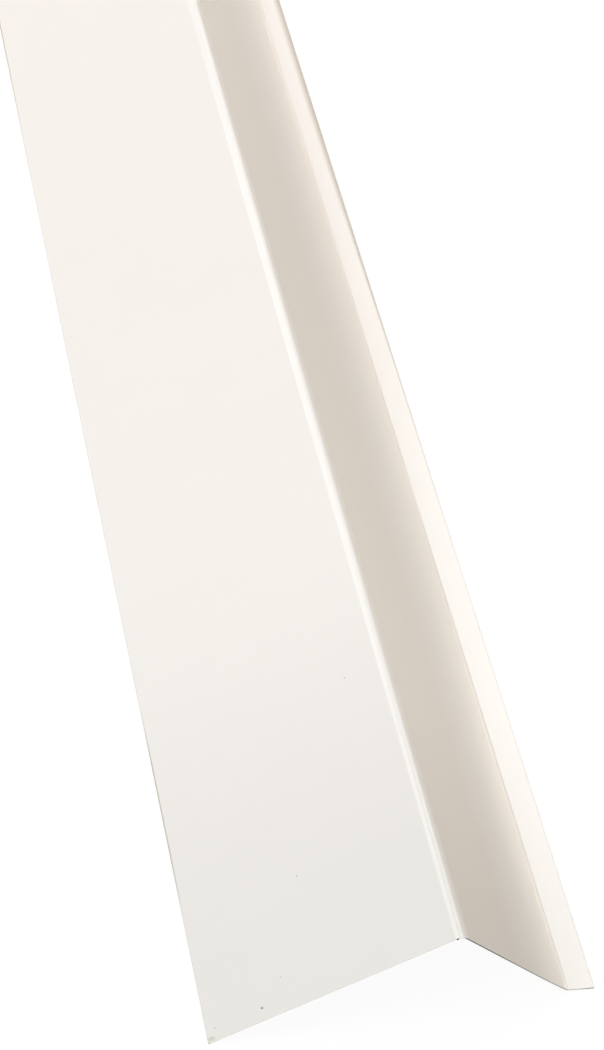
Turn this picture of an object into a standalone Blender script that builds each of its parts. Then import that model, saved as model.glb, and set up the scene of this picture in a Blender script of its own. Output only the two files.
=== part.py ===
"""Drip edge flashing: one length of pre-painted steel sheet, folded along its length.

The section starts at the free edge of the roof flange, crosses a shallow crease and a narrow strip,
turns down over the main bend into the fascia face, and kicks out into the lip that sheds the water.
The piece lies as it would on a floor: on the free edge of the flange and the outer edge of the lip.
X runs across it, flange towards -X and lip towards +X. Y runs along it and Z is up.
The origin is under the middle of the piece, on the floor.
"""

import math

import bmesh
import bpy
from mathutils import Matrix, Vector

# Stock: the length it is sold in, and the painted thickness of the sheet
LENGTH = 3.048
THICKNESS = 0.0005

# Widths of the four flats on the outer side, each to the sharp corner where two flats would meet
FLANGE_WIDTH = 0.1016
STRIP_WIDTH = 0.0035
FACE_WIDTH = 0.05715
LIP_WIDTH = 0.0107

# How far the sheet turns at each fold: the first two turn it down, the last turns it out again
CREASE_TURN = math.radians(14.0)
MAIN_TURN = math.radians(53.0)
LIP_TURN = math.radians(38.0)

# Radius inside each fold
CREASE_RADIUS = 0.003
MAIN_RADIUS = 0.002
LIP_RADIUS = 0.0012

# Largest angle between neighbouring facets of a fold
FACET_ANGLE = math.radians(6.0)

# White paint
PAINT_COLOUR = (0.87, 0.85, 0.81, 1.0)
PAINT_ROUGHNESS = 0.32
SHARP_ANGLE = math.radians(30.0)


def clear_scene():
    for obj in list(bpy.data.objects):
        bpy.data.objects.remove(obj, do_unlink=True)


def heading(angle):
    """Direction of travel across the sheet, with 0 along the roof flange."""
    return Vector((math.cos(angle), math.sin(angle)))


def outward(angle):
    """Normal of the outer, visible side where the sheet runs at this angle."""
    return Vector((-math.sin(angle), math.cos(angle)))


def outer_radius(turn, inside_radius):
    """A fold that turns down is convex on the outer side, so the thickness adds to its radius there."""
    return inside_radius + THICKNESS if turn < 0 else inside_radius


def folded_side(widths, folds):
    """Points of the outer side and the sheet's angle at each, from the flange's edge to the lip's."""
    point = Vector((0.0, 0.0))
    angle = 0.0
    stations = [(point.copy(), angle)]
    setback = 0.0
    for width, (turn, inside_radius) in zip(widths, folds):
        radius = outer_radius(turn, inside_radius)
        next_setback = radius * math.tan(abs(turn) / 2)
        point += heading(angle) * (width - setback - next_setback)
        side = math.copysign(radius, turn)
        centre = point + outward(angle) * side
        facets = math.ceil(abs(turn) / FACET_ANGLE)
        stations += [
            (centre - outward(angle + turn * i / facets) * side, angle + turn * i / facets)
            for i in range(facets + 1)
        ]
        point = stations[-1][0].copy()
        angle += turn
        setback = next_setback
    point += heading(angle) * (widths[-1] - setback)
    stations.append((point, angle))
    return stations


def section_sides():
    """Outer and inner points of the section, laid on the floor and centred across it."""
    widths = (FLANGE_WIDTH, STRIP_WIDTH, FACE_WIDTH, LIP_WIDTH)
    folds = (
        (-CREASE_TURN, CREASE_RADIUS),
        (-MAIN_TURN, MAIN_RADIUS),
        (LIP_TURN, LIP_RADIUS),
    )
    stations = folded_side(widths, folds)
    outer = [point for point, angle in stations]
    inner = [point - outward(angle) * THICKNESS for point, angle in stations]

    # The piece tips until the lower corners of its two edges are level.
    across = inner[-1] - inner[0]
    level = Matrix.Rotation(-math.atan2(across.y, across.x), 2)
    outer = [level @ point for point in outer]
    inner = [level @ point for point in inner]
    middle = (min(p.x for p in outer + inner) + max(p.x for p in outer + inner)) / 2
    shift = Vector((-middle, -inner[0].y))
    return [p + shift for p in outer], [p + shift for p in inner]


def section_faces(bm):
    """The cut end as a row of quads across the thickness, at the near end of the piece."""
    outer, inner = section_sides()
    near = -LENGTH / 2
    rows = [
        (bm.verts.new((a.x, near, a.y)), bm.verts.new((b.x, near, b.y)))
        for a, b in zip(outer, inner)
    ]
    return [
        bm.faces.new((first[0], first[1], second[1], second[0]))
        for first, second in zip(rows, rows[1:])
    ]


def folded_sheet():
    """The section drawn out along the length into one closed body."""
    bm = bmesh.new()
    near_end = section_faces(bm)
    drawn = bmesh.ops.extrude_face_region(bm, geom=near_end, use_keep_orig=True)
    far_end = [part for part in drawn["geom"] if isinstance(part, bmesh.types.BMVert)]
    bmesh.ops.translate(bm, verts=far_end, vec=(0.0, LENGTH, 0.0))
    bmesh.ops.recalc_face_normals(bm, faces=bm.faces)
    mesh = bpy.data.meshes.new("drip_edge")
    bm.to_mesh(mesh)
    bm.free()
    return mesh


def white_paint():
    material = bpy.data.materials.new("white_paint")
    material.use_nodes = True
    shader = material.node_tree.nodes["Principled BSDF"]
    shader.inputs["Base Color"].default_value = PAINT_COLOUR
    shader.inputs["Roughness"].default_value = PAINT_ROUGHNESS
    shader.inputs["Metallic"].default_value = 0.0
    return material


def drip_edge():
    mesh = folded_sheet()
    mesh.materials.append(white_paint())
    mesh.shade_smooth()
    mesh.set_sharp_from_angle(angle=SHARP_ANGLE)
    obj = bpy.data.objects.new("drip_edge", mesh)
    bpy.context.scene.collection.objects.link(obj)
    # The flats keep their own normals, and only the folds shade as round.
    weighted = obj.modifiers.new("flat_normals", "WEIGHTED_NORMAL")
    weighted.keep_sharp = True
    return obj


clear_scene()
drip_edge()
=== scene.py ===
"""Drip edge flashing in white coil paint, lying on a pale floor and seen from above its near end.

The whole sheet is one piece, rebuilt with finely rounded folds and sheared edges from the sizes below,
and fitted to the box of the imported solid. X runs across it, Y along it and Z is up.
Lengths are in metres. Named angles are in degrees, and the phases of waves are in radians.
"""

import math

import bpy
from mathutils import Matrix, Vector


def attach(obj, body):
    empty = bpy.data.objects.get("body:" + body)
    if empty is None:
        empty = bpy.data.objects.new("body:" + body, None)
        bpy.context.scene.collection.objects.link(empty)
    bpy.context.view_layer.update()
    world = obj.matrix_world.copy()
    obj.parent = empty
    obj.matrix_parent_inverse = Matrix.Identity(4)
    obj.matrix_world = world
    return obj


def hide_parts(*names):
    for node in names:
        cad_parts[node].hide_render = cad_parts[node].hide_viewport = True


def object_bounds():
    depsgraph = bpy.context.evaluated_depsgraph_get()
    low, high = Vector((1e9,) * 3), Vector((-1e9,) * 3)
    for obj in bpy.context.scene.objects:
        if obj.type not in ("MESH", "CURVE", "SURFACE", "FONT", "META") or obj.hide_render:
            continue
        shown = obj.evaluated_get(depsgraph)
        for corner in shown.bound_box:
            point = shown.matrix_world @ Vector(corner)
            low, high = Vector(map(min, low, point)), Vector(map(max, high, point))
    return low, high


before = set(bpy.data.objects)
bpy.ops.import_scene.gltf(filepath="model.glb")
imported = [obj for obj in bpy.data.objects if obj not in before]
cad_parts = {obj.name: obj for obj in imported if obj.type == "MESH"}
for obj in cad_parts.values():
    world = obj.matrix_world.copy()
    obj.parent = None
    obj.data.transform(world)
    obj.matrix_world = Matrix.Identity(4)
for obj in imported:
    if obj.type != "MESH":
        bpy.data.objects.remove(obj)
cad_low, cad_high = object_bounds()
cad_middle = (cad_low.x + cad_high.x) / 2

# The section, on its outer side and to the sharp corners of its folds
THICKNESS = 0.0005
FLANGE_WIDTH = 0.1016
STRIP_WIDTH = 0.0035
FACE_WIDTH = 0.05715
LIP_WIDTH = 0.0107
CREASE_TURN = 14.0
MAIN_TURN = 53.0
LIP_TURN = 38.0
CREASE_RADIUS = 0.003
MAIN_RADIUS = 0.0032
LIP_RADIUS = 0.0018

# How the flange lies: its slope, and how high it rises from its free edge to the crease
FLANGE_SLOPE = 23.2
FLANGE_RISE = 0.0399

# The face flares out slightly above the lip: how far it turns, over what radius, how wide the flared
# part is, and the share of that turn by which the rest of the face leans back
FLARE_TURN = 2.7
FLARE_RADIUS = 0.23
FLARE_WIDTH = 0.0098
FLARE_SHARE = 0.17

# The flare's turn varies along the length, as the mean of waves of these lengths and phases
FLARE_SWING = 0.25
FLARE_WAVES = (
    dict(length=0.21, phase=0.0),
    dict(length=0.37, phase=1.9),
    dict(length=0.83, phase=4.1),
)

# The crease wanders: how wide the strip beside it is on average, and how far and over what length
# it swings
STRIP_MEAN = 0.0040
STRIP_SWING = 0.0010
STRIP_WAVE = 1.9
STRIP_PHASE = -0.95

# Lines across the sheet that its paint, its painted shade and its cut edges are placed from: beside the
# crease, over the main bend and at the lip fold
CREASE_LINE = cad_middle + 0.0199
BEND_LINE = cad_middle + 0.0233
LIP_LINE = cad_middle + 0.0635

# Sheared edges: the rounded corners of the long edges and of the two ends, and a burr at the near end
RIM_ROUND = 0.00012
END_ROUND = 0.00008
CORNER_STEPS = 3
BURR_DROP = 0.0006
BURR_SPREAD = 0.00030

# How finely the sheet is divided across its flats, round its folds and along its length
FLAT_STEP = 0.004
FOLD_STEP = 2.0
FLARE_STEPS = 4
LENGTH_STEP = 0.014

# Materials of the piece, in the order of its slots
OUTER, INNER, CUT = range(3)

# Colours are linear. A pair of places across or along the sheet says where something is absent and
# where it is full: START on one side of it, and FINISH on the other.

# White paint: faintly mottled, and slightly uneven in its gloss along the rolling direction
WHITE_LIGHT = (0.882, 0.873, 0.856, 1.0)
WHITE_DARK = (0.858, 0.851, 0.834, 1.0)
MOTTLE = dict(scale=22.0, detail=3.0)
SHEEN = dict(stretch=(60.0, 6.0, 60.0), detail=4.0)
SHEEN_RANGE = (0.1, 0.9)
PAINT_ROUGHNESS = (0.225, 0.255)

# Its fine surface: the orange peel of the coat and the drawn lines of the rolled steel under it
PEEL = dict(scale=700.0, detail=1.0)
PEEL_SHARE = 0.6
DRAWN = dict(stretch=(900.0, 9.0, 900.0), detail=2.0)
DRAWN_SHARE = 0.4
SURFACE_STRENGTH = 0.25
SURFACE_DEPTH = 0.00001

# Over the main bend the paint is stretched and duller: where, and how much rougher
BEND_START = (BEND_LINE - 0.0019, BEND_LINE - 0.0008)
BEND_FINISH = (BEND_LINE + 0.0011, BEND_LINE + 0.0005)
BEND_DULLER = 0.26

# Painted shade on the face: its white darkened and warmed from the main bend down, fading out above the
# lip, and more so towards the near end
FACE_SHADE_COLOUR = (0.734, 0.693, 0.634, 1.0)
FACE_SHADE_START = (BEND_LINE - 0.0005, BEND_LINE + 0.0017)
FACE_SHADE_FINISH = (LIP_LINE - 0.0035, LIP_LINE - 0.0225)
FACE_SHADE_SHARE = 0.58
FACE_SHADE_SHARE_AT_END = 0.88

# Painted shade: the whole sheet is a little darker towards its near end, and further along on the flange
END_SHADE_COLOUR = (0.47, 0.48, 0.465, 1.0)
END_SHADE_SHARE = 0.19
SHADED_END = (cad_low.y + 0.16, cad_low.y)
SHADED_FLANGE = cad_low.y + 0.25

# The crease is left out of that painted shade, so that it stays bright
CREASE_UNSHADED_START = (CREASE_LINE - 0.0012, CREASE_LINE - 0.0003)
CREASE_UNSHADED_FINISH = (CREASE_LINE + 0.0011, CREASE_LINE + 0.0001)

# Marks in the paint of the flange, placed across and along from its near left corner: specks,
# a smudge at that corner and a tinge beside it along the cut end. The core of a spot, where it is
# at its full depth, reaches out to this share of its radius.
SPECKS = (
    dict(across=0.0035, along=0.0057, radius=0.0005, depth=0.35),
    dict(across=0.0215, along=0.0057, radius=0.0007, depth=0.90),
    dict(across=0.0304, along=0.0161, radius=0.0005, depth=0.35),
    dict(across=0.0445, along=0.0592, radius=0.0005, depth=0.50),
    dict(across=0.0801, along=0.1463, radius=0.0006, depth=0.40),
)
SPECK = (0.20, 0.19, 0.17, 1.0)
SPOT_CORE = 0.4
SMUDGE = (0.45, 0.44, 0.38, 1.0)
SMUDGE_PLACE = dict(across=0.0012, along=0.0002)
SMUDGE_RADIUS = 0.0030
TINGE = (0.79, 0.77, 0.68, 1.0)
TINGE_FADE = (cad_low.x + 0.0125, cad_low.x + 0.0060)
TINGE_EDGE = (cad_low.y + 0.0022, cad_low.y + 0.0008)

# Smudge and tinge are patchy: how fine the noise is, which part of it counts, and their depth in it
PATCH_SCALE = 450.0
PATCH_RANGE = (0.30, 0.62)
PATCH_DEPTH = (0.35, 0.70)

# Greyed paint along the sheet's free edges: its colour, how far it reaches in from the edge, and where
# along the sheet it is. On the lip it widens away from the near end.
EDGE_GREY = (0.42, 0.385, 0.31, 1.0)
LIP_GREY_REACH = (0.0007, 0.0042)
LIP_GREY_WIDENS = (cad_low.y + 0.33, cad_low.y + 0.62)
LIP_GREY_START = (cad_low.y + 0.22, cad_low.y + 0.42)
FLANGE_GREY_REACH = 0.0008
FLANGE_GREY_NEAR = (cad_low.y + 0.060, cad_low.y + 0.095)
FLANGE_GREY_NEAR_END = (cad_low.y + 0.185, cad_low.y + 0.140)
FLANGE_GREY_FAR = (cad_low.y + 0.55, cad_low.y + 0.68)

# The coat of the inner side, streaked along the rolling direction
BACKER_LIGHT = (0.77, 0.76, 0.73, 1.0)
BACKER_DARK = (0.70, 0.69, 0.66, 1.0)
BACKER_STREAKS = dict(stretch=(300.0, 4.0, 300.0), detail=3.0)
BACKER_RANGE = (0.3, 0.7)
BACKER_ROUGHNESS = (0.42, 0.52)

# Bare steel of the cut edges, paler along the face's end and again at the lip's, where it darkens
# towards the tip
STEEL_DARK = (0.067, 0.07, 0.067, 1.0)
STEEL_LIGHT = (0.175, 0.175, 0.168, 1.0)
STEEL_GRAIN = dict(scale=1400.0, detail=2.0)
FACE_END = (0.42, 0.40, 0.38, 1.0)
FACE_END_START = (BEND_LINE + 0.0027, LIP_LINE - 0.0015)
LIP_END = (0.66, 0.64, 0.61, 1.0)
LIP_END_START = (LIP_LINE - 0.0010, LIP_LINE + 0.0010)
LIP_TIP = (0.25, 0.245, 0.235, 1.0)
LIP_TIP_START = (LIP_LINE + 0.0040, LIP_LINE + 0.0100)
CUT_ROUGHNESS = 0.55

# Paint dragged over the cut end as far as the main bend, the slit long edge, and the dark burr,
# whose edge fades between these shares of its spread
DRAGGED_DARK = (0.86, 0.86, 0.85, 1.0)
DRAGGED_LIGHT = (0.92, 0.92, 0.91, 1.0)
DRAGGED_GRAIN = dict(scale=300.0, detail=2.0)
DRAGGED_START = (BEND_LINE + 0.0001, BEND_LINE - 0.0011)
SLIT = (0.36, 0.35, 0.33, 1.0)
SLIT_START = (cad_low.x + 0.0010, cad_low.x + 0.0004)
BURR = (0.04, 0.04, 0.045, 1.0)
BURR_FADE = (2.0, 1.2)

# Camera: where the photograph was taken from, measured from the middle of the near end, and how far
# it looks down and to the right. Lens and sensor are in millimetres.
CAMERA_OFFSET = Vector((-0.1789, -0.7631, 0.9726))
CAMERA_DOWN = 42.63
CAMERA_RIGHT = 10.41
CAMERA_LENS = 112.17
SENSOR = 36.0

# Lamps: the direction that each one's light comes from, as azimuth clockwise from +Y and elevation,
# and the angle that the lamp spans. Strengths and colours were first fitted by least squares to tones
# of the photograph, and then adjusted.
LAMPS = {
    "key": dict(azimuth=-92, elevation=46, angle=40, strength=1.90, colour=(0.99, 1.0, 1.0)),
    "front": dict(azimuth=180, elevation=14, angle=40, strength=1.6, colour=(1.0, 1.0, 1.0)),
    "crease": dict(azimuth=-15, elevation=45, angle=14, strength=0.18, colour=(1.0, 0.97, 0.89)),
    "strip": dict(azimuth=-2, elevation=40, angle=14, strength=0.17, colour=(0.99, 1.0, 0.99)),
    "flange": dict(azimuth=-23, elevation=27, angle=24, strength=0.11, colour=(1.0, 0.45, 0.17)),
    "lip_far": dict(azimuth=16, elevation=30, angle=18, strength=0.25, colour=(1.0, 0.79, 0.66)),
    "lip_near": dict(azimuth=29, elevation=45, angle=18, strength=0.54, colour=(1.0, 0.97, 0.89)),
    "face_far": dict(azimuth=35, elevation=3, angle=6, strength=0.12, colour=(1.0, 0.77, 0.57)),
    "face_beyond": dict(azimuth=41, elevation=3, angle=6, strength=0.058, colour=(1.0, 0.66, 0.44)),
    "face_middle": dict(azimuth=47, elevation=3, angle=6, strength=0.11, colour=(1.0, 0.84, 0.58)),
    "face_near": dict(azimuth=53, elevation=3, angle=6, strength=0.31, colour=(1.0, 0.86, 0.70)),
}
WORLD_STRENGTH = 0.1
WORLD_COLOUR = (1.0, 1.0, 1.0, 1.0)

# Floor: the light that it gives back to the object, and how it looks
FLOOR_SIDE = 60.0
FLOOR_BOUNCE = (0.6, 0.54, 0.47, 1.0)
FLOOR_SHADE = (0.08, 0.08, 0.08, 1.0)
FLOOR_GLOW = 0.94


def heading(angle):
    """Direction of travel across the sheet, with 0 along the roof flange."""
    return Vector((math.cos(angle), math.sin(angle)))


def outward(angle):
    """Normal of the outer side where the sheet runs at this angle."""
    return Vector((-math.sin(angle), math.cos(angle)))


def flat_stations(start, angle, width, count):
    """Points along one flat, from its start, without its first point."""
    return [(start + heading(angle) * width * i / count, angle) for i in range(1, count + 1)]


def fold_stations(start, angle, turn, radius, count):
    """Points round one fold, from its start, without its first point."""
    side = math.copysign(radius, turn)
    centre = start + outward(angle) * side
    angles = [angle + turn * i / count for i in range(1, count + 1)]
    return [(centre - outward(a) * side, a) for a in angles]


def section_folds(flare):
    """Turn, outer radius and number of facets of each fold, from the crease to the lip fold."""
    lean = flare * FLARE_SHARE
    turns = (-CREASE_TURN, -MAIN_TURN - lean, flare, LIP_TURN + lean - flare)
    radii = (CREASE_RADIUS + THICKNESS, MAIN_RADIUS + THICKNESS, FLARE_RADIUS, LIP_RADIUS)
    counts = [round(turn / FOLD_STEP) for turn in (CREASE_TURN, MAIN_TURN, LIP_TURN)]
    counts.insert(2, FLARE_STEPS)
    return [math.radians(turn) for turn in turns], radii, counts


def outer_stations(flare, strip):
    """Outer points of the section and the sheet's angle at each, from the flange's edge to the lip's."""
    turns, radii, fold_counts = section_folds(flare)
    usual = (FLANGE_WIDTH, STRIP_WIDTH, FACE_WIDTH - FLARE_WIDTH, FLARE_WIDTH, LIP_WIDTH)
    widths = (FLANGE_WIDTH + STRIP_WIDTH - strip, strip, *usual[2:])
    flat_counts = [max(1, round(width / FLAT_STEP)) for width in usual]
    setbacks = [radius * math.tan(abs(turn) / 2) for turn, radius in zip(turns, radii)]
    stations = [(Vector((0.0, 0.0)), 0.0)]
    for i, width in enumerate(widths):
        before = setbacks[i - 1] if i else 0.0
        after = setbacks[i] if i < len(setbacks) else 0.0
        stations += flat_stations(*stations[-1], width - before - after, flat_counts[i])
        if i < len(turns):
            stations += fold_stations(*stations[-1], turns[i], radii[i], fold_counts[i])
    return stations


def corner_round(radius):
    """Steps round a corner: how far in from the edge each is, and how much thinner the sheet is there."""
    angles = [math.pi / 2 * i / CORNER_STEPS for i in range(CORNER_STEPS, -1, -1)]
    return [(radius * (1 - math.sin(angle)), radius * (1 - math.cos(angle))) for angle in angles]


def rim_stations(edge, angle, inwards, shrink):
    """Middles of the sheet near a long edge, from the edge inwards, with the half thickness at each."""
    return [
        (edge + inwards * (inset + shrink * (1 - inset / RIM_ROUND)), angle, THICKNESS / 2 - thinner)
        for inset, thinner in corner_round(RIM_ROUND)
    ]


def laid(points, middles):
    """Points of a section, turned until its lower corners are level and fitted to the solid's box."""
    feet = [p - outward(a) * half for p, a, half in (middles[0], middles[-1])]
    across = feet[1] - feet[0]
    level = Matrix.Rotation(-math.atan2(across.y, across.x), 2)
    tops = [level @ (p + outward(a) * half) for p, a, half in middles]
    low = Vector((min(p.x for p in tops), (level @ feet[0]).y))
    high = Vector((max(p.x for p in tops), max(p.y for p in tops)))
    fit = Vector((
        (cad_high.x - cad_low.x) / (high.x - low.x),
        (cad_high.z - cad_low.z) / (high.y - low.y),
    ))
    place = Vector((cad_low.x, cad_low.z))
    return [place + (level @ p - low) * fit for p in points]


def section_row(flare, strip, shrink):
    """Outer and inner points of one row of the sheet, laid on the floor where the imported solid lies."""
    stations = outer_stations(flare, strip)
    middles = [(p - outward(a) * THICKNESS / 2, a, THICKNESS / 2) for p, a in stations]
    first, last = middles[0], middles[-1]
    start = rim_stations(first[0], first[1], heading(first[1]), shrink)
    finish = rim_stations(last[0], last[1], -heading(last[1]), shrink)
    row = start + middles[1:-1] + finish[::-1]
    outer = [p + outward(a) * (half - shrink) for p, a, half in row]
    inner = [p - outward(a) * (half - shrink) for p, a, half in row]
    return laid(outer, middles), laid(inner, middles)


def length_rows():
    """Where each row is along the length, and how much the sheet is rounded off there."""
    ends = corner_round(END_ROUND)
    length = cad_high.y - cad_low.y
    count = round(length / LENGTH_STEP)
    rows = [(cad_low.y + inset, shrink) for inset, shrink in ends]
    rows += [(cad_low.y + length * i / count, 0.0) for i in range(1, count)]
    return rows + [(cad_high.y - inset, shrink) for inset, shrink in reversed(ends)]


def flare_at(y):
    waves = [math.sin(2 * math.pi * y / wave["length"] + wave["phase"]) for wave in FLARE_WAVES]
    swing = sum(waves) / len(FLARE_WAVES)
    return FLARE_TURN + FLARE_SWING * swing


def strip_at(y):
    turn = 2 * math.pi * (y - cad_low.y) / STRIP_WAVE
    return STRIP_MEAN + STRIP_SWING * math.sin(turn + STRIP_PHASE)


def with_burr(inner):
    """The sheared end's lower side, dragged down a little at the crease."""
    drops = [BURR_DROP * math.exp(-(((p.x - CREASE_LINE) / BURR_SPREAD) ** 2)) for p in inner]
    return [Vector((p.x, p.y - drop)) for p, drop in zip(inner, drops)]


def sheet_points(rows):
    """Points of the sheet, row by row: along the outer side and back along the inner one."""
    points = []
    for k, (y, shrink) in enumerate(rows):
        outer, inner = section_row(flare_at(y), strip_at(y), shrink)
        if k == 0:
            inner = with_burr(inner)
        points += [(p.x, y, p.y) for p in outer + inner[::-1]]
    return points


def side_material(i, width, rounded):
    """Cut edge along the rims and round the ends, and otherwise the coat of the outer or inner side."""
    station = i if i < width - 1 else 2 * width - 2 - i
    on_rim = not CORNER_STEPS <= station < width - 1 - CORNER_STEPS
    if rounded or on_rim or i in (width - 1, 2 * width - 1):
        return CUT
    return OUTER if i < width - 1 else INNER


def side_faces(rows, width):
    """Faces between the rows, all the way round the section, and the material of each."""
    around = 2 * width
    faces = []
    marks = []
    for row, (this, following) in enumerate(zip(rows, rows[1:])):
        rounded = this[1] > 0 or following[1] > 0
        here = row * around
        there = here + around
        for i in range(around):
            j = (i + 1) % around
            faces.append((here + i, here + j, there + j, there + i))
            marks.append(side_material(i, width, rounded))
    return faces, marks


def end_faces(last_row, width):
    """Faces across the near and the far cut end."""
    around = 2 * width
    faces = []
    for row in (0, last_row):
        for i in range(width - 1):
            quad = [row * around + k for k in (i, around - 1 - i, around - 2 - i, i + 1)]
            faces.append(tuple(quad if row == 0 else quad[::-1]))
    return faces


def painted_sheet():
    """The folded sheet as one closed mesh."""
    rows = length_rows()
    points = sheet_points(rows)
    width = len(points) // len(rows) // 2
    sides, marks = side_faces(rows, width)
    ends = end_faces(len(rows) - 1, width)
    mesh = bpy.data.meshes.new("painted_sheet")
    mesh.from_pydata(points, [], sides + ends)
    mesh.polygons.foreach_set("material_index", marks + [CUT] * len(ends))
    mesh.update()
    mesh.shade_smooth()
    obj = bpy.data.objects.new("painted_sheet", mesh)
    bpy.context.scene.collection.objects.link(obj)
    # The flats keep their own normals, and only the folds and rims shade as round.
    obj.modifiers.new("flat_normals", "WEIGHTED_NORMAL")
    return obj


class Nodes:
    """A material's node tree, with short ways to add to it."""

    # Where a Mix node has the sockets for its two colours and their mixture
    MIX_FIRST, MIX_SECOND, MIX_RESULT = 6, 7, 2

    def __init__(self, name):
        self.material = bpy.data.materials.new(name)
        self.material.use_nodes = True
        self.tree = self.material.node_tree
        self.shader = self.tree.nodes["Principled BSDF"]

    def give(self, socket, value):
        if isinstance(value, bpy.types.NodeSocket):
            self.tree.links.new(value, socket)
        else:
            socket.default_value = value

    def add(self, kind, *values, settings=None, **named):
        """A node, with the values of its inputs in order or by name."""
        node = self.tree.nodes.new(kind)
        for name, value in (settings or {}).items():
            setattr(node, name, value)
        for socket, value in zip(node.inputs, values):
            self.give(socket, value)
        for name, value in named.items():
            self.give(node.inputs[name], value)
        return node

    def math(self, operation, first, second):
        return self.add("ShaderNodeMath", first, second, settings={"operation": operation}).outputs[0]

    def ramp(self, value, start, end, low=0.0, high=1.0):
        """Smooth change from low to high while the value goes from start to end."""
        smooth = {"interpolation_type": "SMOOTHSTEP"}
        return self.add("ShaderNodeMapRange", value, start, end, low, high, settings=smooth).outputs[0]

    def between(self, value, start, finish):
        """1 between two smooth changes, each from its first place to its second, and 0 outside them."""
        return self.math("MULTIPLY", self.ramp(value, *start), self.ramp(value, *finish))

    def blend(self, share, first, second):
        """The first colour where the share is 0, and the second where it is 1."""
        node = self.add("ShaderNodeMix", share, settings={"data_type": "RGBA"})
        self.give(node.inputs[self.MIX_FIRST], first)
        self.give(node.inputs[self.MIX_SECOND], second)
        return node.outputs[self.MIX_RESULT]

    def noise(self, place, scale, detail=2.0):
        return self.add("ShaderNodeTexNoise", Vector=place, Scale=scale, Detail=detail).outputs["Fac"]

    def streaks(self, place, stretch, detail):
        """Noise that is as fine as the stretch says by axis, and so drawn out where it is small."""
        drawn_out = self.add("ShaderNodeMapping", Vector=place, Scale=stretch).outputs[0]
        return self.noise(drawn_out, 1.0, detail)

    def place(self):
        """Position on the object."""
        return self.add("ShaderNodeTexCoord").outputs["Object"]

    def axes(self, place):
        """Position across and along the sheet."""
        return self.add("ShaderNodeSeparateXYZ", place).outputs[:2]

    def near(self, place, point, radius):
        """1 at the core of a spot round the point, fading to 0 at the radius."""
        gap = self.add("ShaderNodeVectorMath", place, point, settings={"operation": "DISTANCE"})
        return self.ramp(gap.outputs["Value"], radius, radius * SPOT_CORE)


def flange_point(across, along):
    """The point on the flange's outer side that is this far from its near left corner."""
    rise = (across / (FLANGE_WIDTH * math.cos(math.radians(FLANGE_SLOPE)))) * FLANGE_RISE
    return (cad_low.x + across, cad_low.y + along, rise + THICKNESS)


def with_face_shade(paint, colour, x, y):
    """The paint with painted shade on the face, darker and warmer from the main bend down to above the
    lip.
    """
    face_shade = paint.between(x, FACE_SHADE_START, FACE_SHADE_FINISH)
    face_shade = paint.math("MULTIPLY", face_shade, paint.ramp(y, *SHADED_END, FACE_SHADE_SHARE, FACE_SHADE_SHARE_AT_END))
    return paint.blend(face_shade, colour, FACE_SHADE_COLOUR)


def with_end_shade(paint, colour, x, y):
    """The paint with painted shade towards the near end, which the crease is left out of."""
    start = paint.ramp(x, *FACE_SHADE_START, SHADED_FLANGE, SHADED_END[0])
    end_shade = paint.ramp(y, start, SHADED_END[1], 0.0, END_SHADE_SHARE)
    crease_unshaded = paint.between(x, CREASE_UNSHADED_START, CREASE_UNSHADED_FINISH)
    end_shade = paint.math("MULTIPLY", end_shade, paint.math("SUBTRACT", 1.0, crease_unshaded))
    return paint.blend(end_shade, colour, END_SHADE_COLOUR)


def marked(paint, colour, place, x, y):
    """The paint under the smudge, the tinge and the specks of the flange."""
    smear = paint.near(place, flange_point(**SMUDGE_PLACE), SMUDGE_RADIUS)
    patchy = paint.ramp(paint.noise(place, PATCH_SCALE), *PATCH_RANGE, *PATCH_DEPTH)
    colour = paint.blend(paint.math("MULTIPLY", smear, patchy), colour, SMUDGE)
    tinge = paint.math("MULTIPLY", paint.ramp(x, *TINGE_FADE), paint.ramp(y, *TINGE_EDGE))
    colour = paint.blend(paint.math("MULTIPLY", tinge, patchy), colour, TINGE)
    for speck in SPECKS:
        spot = paint.near(place, flange_point(speck["across"], speck["along"]), speck["radius"])
        colour = paint.blend(paint.math("MULTIPLY", spot, speck["depth"]), colour, SPECK)
    return colour


def greyed_edges(paint, x, y):
    """How grey the paint is, along the free edges of the flange and the lip."""
    reach = paint.ramp(y, *LIP_GREY_WIDENS, *LIP_GREY_REACH)
    lip = paint.ramp(paint.math("SUBTRACT", cad_high.x, x), reach, 0.0)
    lip = paint.math("MULTIPLY", lip, paint.ramp(y, *LIP_GREY_START))
    near = paint.between(y, FLANGE_GREY_NEAR, FLANGE_GREY_NEAR_END)
    span = paint.math("MAXIMUM", near, paint.ramp(y, *FLANGE_GREY_FAR))
    flange = paint.ramp(x, cad_low.x + FLANGE_GREY_REACH, cad_low.x)
    return paint.math("MAXIMUM", lip, paint.math("MULTIPLY", flange, span))


def uneven_gloss(paint, place, x):
    """Roughness, which varies a little along the rolling direction and is higher over the main bend."""
    rough = paint.ramp(paint.streaks(place, **SHEEN), *SHEEN_RANGE, *PAINT_ROUGHNESS)
    bend = paint.between(x, BEND_START, BEND_FINISH)
    return paint.math("ADD", rough, paint.math("MULTIPLY", bend, BEND_DULLER))


def fine_surface(paint, place):
    """Normal of the peel and the drawn lines."""
    peel = paint.math("MULTIPLY", paint.noise(place, **PEEL), PEEL_SHARE)
    drawn = paint.math("MULTIPLY", paint.streaks(place, **DRAWN), DRAWN_SHARE)
    height = paint.math("ADD", peel, drawn)
    depth = dict(Strength=SURFACE_STRENGTH, Distance=SURFACE_DEPTH)
    return paint.add("ShaderNodeBump", **depth, Height=height).outputs[0]


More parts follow.
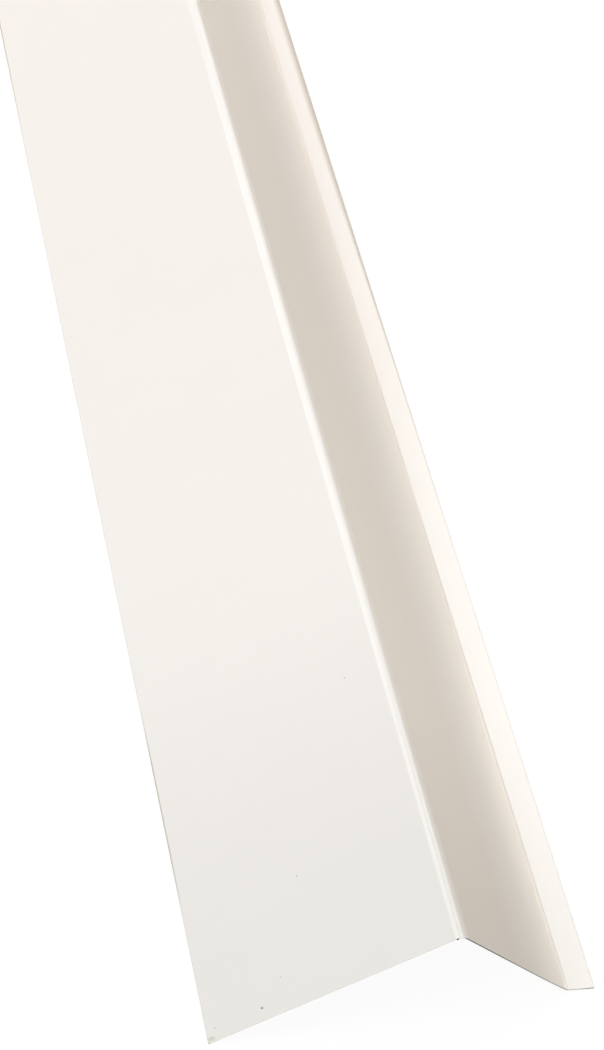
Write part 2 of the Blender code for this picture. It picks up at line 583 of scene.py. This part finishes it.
def white_paint():
    """The coil paint of the outer side, with painted shade on the face and towards the near end, and the
    marks on it.
    """
    paint = Nodes("white_paint")
    place = paint.place()
    x, y = paint.axes(place)
    colour = paint.blend(paint.noise(place, **MOTTLE), WHITE_LIGHT, WHITE_DARK)
    # Painted shade: the face darker and warmer from the main bend down towards the lip
    colour = with_face_shade(paint, colour, x, y)
    # Painted shade: the whole sheet darker towards its near end, but not the crease
    colour = with_end_shade(paint, colour, x, y)
    colour = marked(paint, colour, place, x, y)
    # Grey along the free edges of the flange and the lip
    colour = paint.blend(greyed_edges(paint, x, y), colour, EDGE_GREY)
    paint.give(paint.shader.inputs["Base Color"], colour)
    paint.give(paint.shader.inputs["Roughness"], uneven_gloss(paint, place, x))
    paint.give(paint.shader.inputs["Normal"], fine_surface(paint, place))
    return paint.material


def backer_coat():
    """The thinner, duller coat of the inner side."""
    coat = Nodes("backer_coat")
    streaks = coat.streaks(coat.place(), **BACKER_STREAKS)
    rough = coat.ramp(streaks, *BACKER_RANGE, *BACKER_ROUGHNESS)
    coat.give(coat.shader.inputs["Base Color"], coat.blend(streaks, BACKER_DARK, BACKER_LIGHT))
    coat.give(coat.shader.inputs["Roughness"], rough)
    return coat.material


def cut_edge():
    """Bare steel where the sheet was sheared, with paint dragged over the flange's end."""
    edge = Nodes("cut_edge")
    place = edge.place()
    x = edge.axes(place)[0]
    steel = edge.blend(edge.noise(place, **STEEL_GRAIN), STEEL_DARK, STEEL_LIGHT)
    face = edge.blend(edge.ramp(x, *FACE_END_START), steel, FACE_END)
    lip = edge.blend(edge.ramp(x, *LIP_TIP_START), LIP_END, LIP_TIP)
    colour = edge.blend(edge.ramp(x, *LIP_END_START), face, lip)
    dragged = edge.blend(edge.noise(place, **DRAGGED_GRAIN), DRAGGED_DARK, DRAGGED_LIGHT)
    colour = edge.blend(edge.ramp(x, *DRAGGED_START), colour, dragged)
    colour = edge.blend(edge.ramp(x, *SLIT_START), colour, SLIT)
    from_burr = edge.math("ABSOLUTE", edge.math("SUBTRACT", x, CREASE_LINE), 0.0)
    burr = edge.ramp(from_burr, *(BURR_SPREAD * share for share in BURR_FADE))
    colour = edge.blend(burr, colour, BURR)
    edge.give(edge.shader.inputs["Base Color"], colour)
    edge.give(edge.shader.inputs["Roughness"], CUT_ROUGHNESS)
    return edge.material


def pale_floor():
    """Pale to the light, and white with a light shadow to the eye."""
    floor = Nodes("pale_floor")
    floor.tree.nodes.remove(floor.shader)
    path = floor.add("ShaderNodeLightPath").outputs
    seen = floor.math("MAXIMUM", path["Is Camera Ray"], path["Is Glossy Ray"])
    seen = floor.math("MAXIMUM", seen, path["Is Transmission Ray"])
    bounce = floor.add("ShaderNodeBsdfDiffuse", Color=FLOOR_BOUNCE).outputs[0]
    shade = floor.add("ShaderNodeBsdfDiffuse", Color=FLOOR_SHADE).outputs[0]
    glow = floor.add("ShaderNodeEmission", Strength=FLOOR_GLOW).outputs[0]
    white = floor.add("ShaderNodeAddShader", shade, glow).outputs[0]
    surface = floor.add("ShaderNodeMixShader", seen, bounce, white).outputs[0]
    floor.give(floor.tree.nodes["Material Output"].inputs["Surface"], surface)
    return floor.material


def add_floor():
    half = FLOOR_SIDE / 2
    mesh = bpy.data.meshes.new("floor")
    corners = [(-half, -half), (half, -half), (half, half), (-half, half)]
    mesh.from_pydata([(x, y, cad_low.z) for x, y in corners], [], [(0, 1, 2, 3)])
    mesh.materials.append(pale_floor())
    obj = bpy.data.objects.new("floor", mesh)
    bpy.context.scene.collection.objects.link(obj)


def add_world():
    """Dim to the object, and white to the eye and in its gloss."""
    world = bpy.data.worlds.new("studio")
    bpy.context.scene.world = world
    world.use_nodes = True
    tree = world.node_tree
    path = tree.nodes.new("ShaderNodeLightPath").outputs
    seen = path["Is Camera Ray"]
    for ray in ("Is Glossy Ray", "Is Transmission Ray"):
        either = tree.nodes.new("ShaderNodeMath")
        either.operation = "MAXIMUM"
        tree.links.new(seen, either.inputs[0])
        tree.links.new(path[ray], either.inputs[1])
        seen = either.outputs[0]
    strength = tree.nodes.new("ShaderNodeMapRange")
    strength.inputs["To Min"].default_value = WORLD_STRENGTH
    tree.links.new(seen, strength.inputs["Value"])
    tree.links.new(strength.outputs["Result"], tree.nodes["Background"].inputs["Strength"])
    tree.nodes["Background"].inputs["Color"].default_value = WORLD_COLOUR


def add_lamp(name, azimuth, elevation, angle, strength, colour):
    lamp = bpy.data.lights.new(name, "SUN")
    lamp.energy = strength
    lamp.angle = math.radians(angle)
    lamp.color = colour
    obj = bpy.data.objects.new(name, lamp)
    turn = math.radians(azimuth)
    rise = math.radians(elevation)
    source = Vector((math.sin(turn) * math.cos(rise), math.cos(turn) * math.cos(rise), math.sin(rise)))
    obj.rotation_euler = source.to_track_quat("Z", "Y").to_euler()
    bpy.context.scene.collection.objects.link(obj)


def add_camera():
    camera = bpy.data.cameras.new("camera")
    camera.sensor_width = SENSOR
    camera.lens = CAMERA_LENS
    obj = bpy.data.objects.new("camera", camera)
    near_end = Vector((cad_middle, cad_low.y, cad_low.z))
    obj.location = near_end + CAMERA_OFFSET
    obj.rotation_euler = (math.radians(90.0 - CAMERA_DOWN), 0.0, math.radians(-CAMERA_RIGHT))
    bpy.context.scene.collection.objects.link(obj)
    bpy.context.scene.camera = obj


bpy.context.scene.view_settings.view_transform = "Standard"
add_camera()
sheet = painted_sheet()
for material in (white_paint(), backer_coat(), cut_edge()):
    sheet.data.materials.append(material)
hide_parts("drip_edge")
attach(sheet, "root")
add_floor()
add_world()
for lamp_name, values in LAMPS.items():
    add_lamp(lamp_name, **values)
